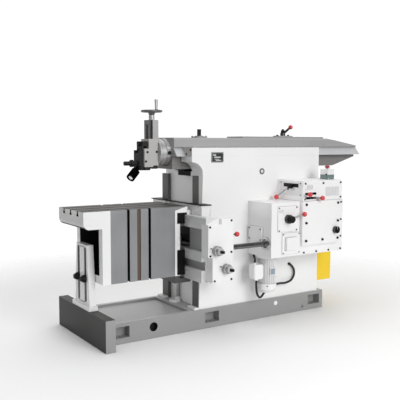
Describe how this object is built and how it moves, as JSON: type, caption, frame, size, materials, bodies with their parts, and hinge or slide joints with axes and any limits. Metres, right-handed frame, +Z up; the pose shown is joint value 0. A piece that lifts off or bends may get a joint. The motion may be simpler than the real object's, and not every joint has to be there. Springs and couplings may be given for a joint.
{
  "type": "metal shaper",
  "caption": "Metal planing shaper: a dovetail ram with a swivelling tool head slides on a hollow column above a box table on a cross rail, with feed and speed gear boxes.",
  "frame": {"origin": "on the floor at the middle of the four corner foundation bolts", "axes": "+X to the rear of the ram, -Y to the operator's side, +Z up"},
  "size_m": [2.35, 0.9558, 1.511],
  "materials": {
    "white_paint": "smooth white machine enamel",
    "grey_paint": "grey machine enamel over a casting",
    "dark_iron": "dark machined iron",
    "steel": "ground and turned steel",
    "machined_iron": "planed grey iron",
    "black_parts": "black oxide",
    "red_knobs": "steel rod with a red ball",
    "red_plastic": "glossy red",
    "black_plastic": "glossy black",
    "stop_grey": "grey-green plastic",
    "yellow_paint": "yellow safety paint",
    "bronze": "bearing bronze",
    "rubber": "black rubber"
  },
  "bodies": {
    "frame": {"base": "grey_paint", "column": "white_paint", "ram_guides": "white_paint", "frame_screws": "black_parts", "belt_guard": "yellow_paint", "main_motor": "dark_iron", "feed_box": "white_paint", "feed_cover": "white_paint", "feed_plates": "white_paint", "control_box": "white_paint", "stop_box": "stop_grey", "feed_motor": "white_paint", "fan_cowl": "white_paint", "terminal_box": "white_paint", "motor_cable": "rubber", "shaft_flange": "steel", "lift_boss": "white_paint", "drive_belts": "rubber"},
    "elevating_screw": {"lift_screw": "steel"},
    "ram": {"ram": "grey_paint", "ram_block": "dark_iron"},
    "ram_screw": {"ram_screw": "steel"},
    "position_shaft": {"position_shaft": "steel"},
    "ram_clamp": {"ram_clamp_lever": "steel"},
    "head": {"swivel_head": "machined_iron"},
    "tool_slide": {"tool_slide": "white_paint"},
    "slide_screw": {"slide_screw": "steel", "handwheel": "steel"},
    "apron": {"apron": "dark_iron", "apron_bolt": "black_parts", "clapper_pin": "steel"},
    "clapper": {"clapper": "dark_iron", "tool_post": "dark_iron"},
    "work_lamp": {"work_lamp": "black_parts"},
    "rail": {"cross_rail": "machined_iron", "rail_keepers": "steel", "rail_end_box": "white_paint", "rail_wiper": "black_parts"},
    "cross_screw": {"cross_screw": "steel"},
    "lift_dial": {"lift_dial": "steel"},
    "rail_lever": {"rail_lever": "red_knobs"},
    "table": {"saddle": "white_paint", "saddle_gibs": "dark_iron", "table": "machined_iron", "support_bolts": "black_parts"},
    "table_support": {"table_support": "white_paint"},
    "feed_tube": {"feed_tube": "dark_iron"},
    "feed_bar": {"feed_bar": "steel"},
    "feed_lever": {"feed_lever": "black_parts"},
    "selector_knob": {"selector_knob": "black_plastic"},
    "gear_lever": {"gear_lever": "red_knobs"},
    "upper_speed_lever": {"upper_speed_lever": "red_knobs"},
    "lower_speed_lever": {"lower_speed_lever": "red_knobs"},
    "stop_button": {"stop_button": "red_plastic"},
    "bull_gear": {"bull_gear": "steel"},
    "back_gear": {"back_gear": "steel"},
    "input_shaft": {"input_shaft": "steel"},
    "motor_pulley": {"motor_pulley": "dark_iron"},
    "rocker": {"rocker_arm": "dark_iron", "slide_block": "bronze"}
  },
  "joints": [
    {"name": "ram_stroke", "type": "slide", "parent": "frame", "child": "ram", "axis": [1, 0, 0], "range_m": [-0.55, 0.05]},
    {"name": "ram_screw_turn", "type": "hinge", "parent": "ram", "child": "ram_screw", "pos_m": [0, 0, 1.168], "axis": [1, 0, 0], "continuous": true},
    {"name": "position_turn", "type": "hinge", "parent": "ram", "child": "position_shaft", "pos_m": [-0.063, 0, 1.2], "axis": [0, 0, 1], "continuous": true},
    {"name": "ram_clamp", "type": "hinge", "parent": "ram", "child": "ram_clamp", "pos_m": [0.689, 0, 1.29], "axis": [0, 0, 1], "range_deg": [-60, 30]},
    {"name": "head_swivel", "type": "hinge", "parent": "ram", "child": "head", "pos_m": [-0.4, 0, 1.169], "axis": [1, 0, 0], "range_deg": [-60, 60]},
    {"name": "tool_feed", "type": "slide", "parent": "head", "child": "tool_slide", "axis": [0, 0, 1], "range_m": [-0.05, 0.11]},
    {"name": "slide_screw_turn", "type": "hinge", "parent": "head", "child": "slide_screw", "pos_m": [-0.4355, 0, 1.4], "axis": [0, 0, 1], "continuous": true},
    {"name": "apron_swivel", "type": "hinge", "parent": "tool_slide", "child": "apron", "pos_m": [-0.53, 0, 1.159], "axis": [1, 0, 0], "range_deg": [-15, 15]},
    {"name": "clapper_lift", "type": "hinge", "parent": "apron", "child": "clapper", "pos_m": [-0.53715, 0, 1.1555], "axis": [0, 1, 0], "range_deg": [0, 30]},
    {"name": "lamp_tilt", "type": "hinge", "parent": "apron", "child": "work_lamp", "pos_m": [-0.566, -0.056, 1.072], "axis": [-0.3827, 0.9239, 0], "range_deg": [-25, 25]},
    {"name": "rail_lift", "type": "slide", "parent": "frame", "child": "rail", "axis": [0, 0, 1], "range_m": [-0.11, 0.13]},
    {"name": "elevating_screw_turn", "type": "hinge", "parent": "frame", "child": "elevating_screw", "pos_m": [-0.206, 0.045, 0.3], "axis": [0, 0, 1], "continuous": true},
    {"name": "lift_dial_turn", "type": "hinge", "parent": "rail", "child": "lift_dial", "pos_m": [-0.167, -0.48, 0.441], "axis": [0, 1, 0], "continuous": true},
    {"name": "rail_lever_swing", "type": "hinge", "parent": "rail", "child": "rail_lever", "pos_m": [-0.135, -0.432, 0.648], "axis": [0, 1, 0], "range_deg": [-15, 15]},
    {"name": "table_cross", "type": "slide", "parent": "rail", "child": "table", "axis": [0, 1, 0], "range_m": [-0.16, 0.16]},
    {"name": "cross_screw_turn", "type": "hinge", "parent": "rail", "child": "cross_screw", "pos_m": [-0.24, -0.48, 0.561], "axis": [0, 1, 0], "continuous": true},
    {"name": "support_cross", "type": "slide", "parent": "frame", "child": "table_support", "axis": [0, 1, 0], "range_m": [-0.16, 0.16]},
    {"name": "feed_tube_tilt", "type": "hinge", "parent": "frame", "child": "feed_tube", "pos_m": [0.187, -0.438, 0.566], "axis": [0, 1, 0], "range_deg": [-27, 27]},
    {"name": "feed_bar_tilt", "type": "hinge", "parent": "rail", "child": "feed_bar", "pos_m": [-0.114, -0.438, 0.566], "axis": [0, 1, 0], "range_deg": [-27, 27]},
    {"name": "feed_lever_swing", "type": "hinge", "parent": "frame", "child": "feed_lever", "pos_m": [0.324, -0.5, 0.727], "axis": [0, 1, 0], "range_deg": [-40, 40]},
    {"name": "selector_turn", "type": "hinge", "parent": "frame", "child": "selector_knob", "pos_m": [0.738, -0.52, 0.629], "axis": [0, 1, 0], "range_deg": [-90, 90]},
    {"name": "gear_lever_swing", "type": "hinge", "parent": "frame", "child": "gear_lever", "pos_m": [0.45, -0.378, 0.936], "axis": [1, 0, 0], "range_deg": [0, 40]},
    {"name": "upper_speed_swing", "type": "hinge", "parent": "frame", "child": "upper_speed_lever", "pos_m": [0.519, -0.444, 0.888], "axis": [0, 0, 1], "range_deg": [-10, 20]},
    {"name": "lower_speed_swing", "type": "hinge", "parent": "frame", "child": "lower_speed_lever", "pos_m": [0.519, -0.444, 0.859], "axis": [0, 0, 1], "range_deg": [-25, 3]},
    {"name": "stop_press", "type": "slide", "parent": "frame", "child": "stop_button", "axis": [0, 0, 1], "range_m": [-0.006, 0], "stiffness_N_per_m": 2500},
    {"name": "bull_gear_turn", "type": "hinge", "parent": "frame", "child": "bull_gear", "pos_m": [0.3, 0.08, 0.64], "axis": [0, 1, 0], "continuous": true},
    {"name": "back_gear_turn", "type": "hinge", "parent": "frame", "child": "back_gear", "pos_m": [0.53927, 0, 0.52843], "axis": [0, 1, 0], "continuous": true},
    {"name": "input_shaft_turn", "type": "hinge", "parent": "frame", "child": "input_shaft", "pos_m": [0.59103, 0, 0.72161], "axis": [0, 1, 0], "continuous": true},
    {"name": "motor_turn", "type": "hinge", "parent": "frame", "child": "motor_pulley", "pos_m": [0.852, -0.17, 0.33], "axis": [0, 1, 0], "continuous": true},
    {"name": "rocker_swing", "type": "hinge", "parent": "frame", "child": "rocker", "pos_m": [0.3, 0, 0.23], "axis": [0, 1, 0], "range_deg": [-38, 4]}
  ],
  "couplings": [
    {"joint": "ram_screw_turn", "follows": "position_turn", "ratio": 1},
    {"joint": "slide_screw_turn", "follows": "tool_feed", "rad_per_m": 1256.6},
    {"joint": "elevating_screw_turn", "follows": "rail_lift", "rad_per_m": 1047.2},
    {"joint": "lift_dial_turn", "follows": "rail_lift", "rad_per_m": 2094.4},
    {"joint": "cross_screw_turn", "follows": "table_cross", "rad_per_m": 1047.2},
    {"joint": "support_cross", "follows": "table_cross", "ratio": 1},
    {"joint": "feed_tube_tilt", "follows": "rail_lift", "rad_per_m": 3.15},
    {"joint": "feed_bar_tilt", "follows": "rail_lift", "rad_per_m": 3.15},
    {"joint": "back_gear_turn", "follows": "bull_gear_turn", "ratio": -3.8889},
    {"joint": "input_shaft_turn", "follows": "bull_gear_turn", "ratio": 11.667},
    {"joint": "motor_turn", "follows": "bull_gear_turn", "ratio": 24.306},
    {"joint": "rocker_swing", "follows": "ram_stroke", "rad_per_m": 1.17}
  ]
}
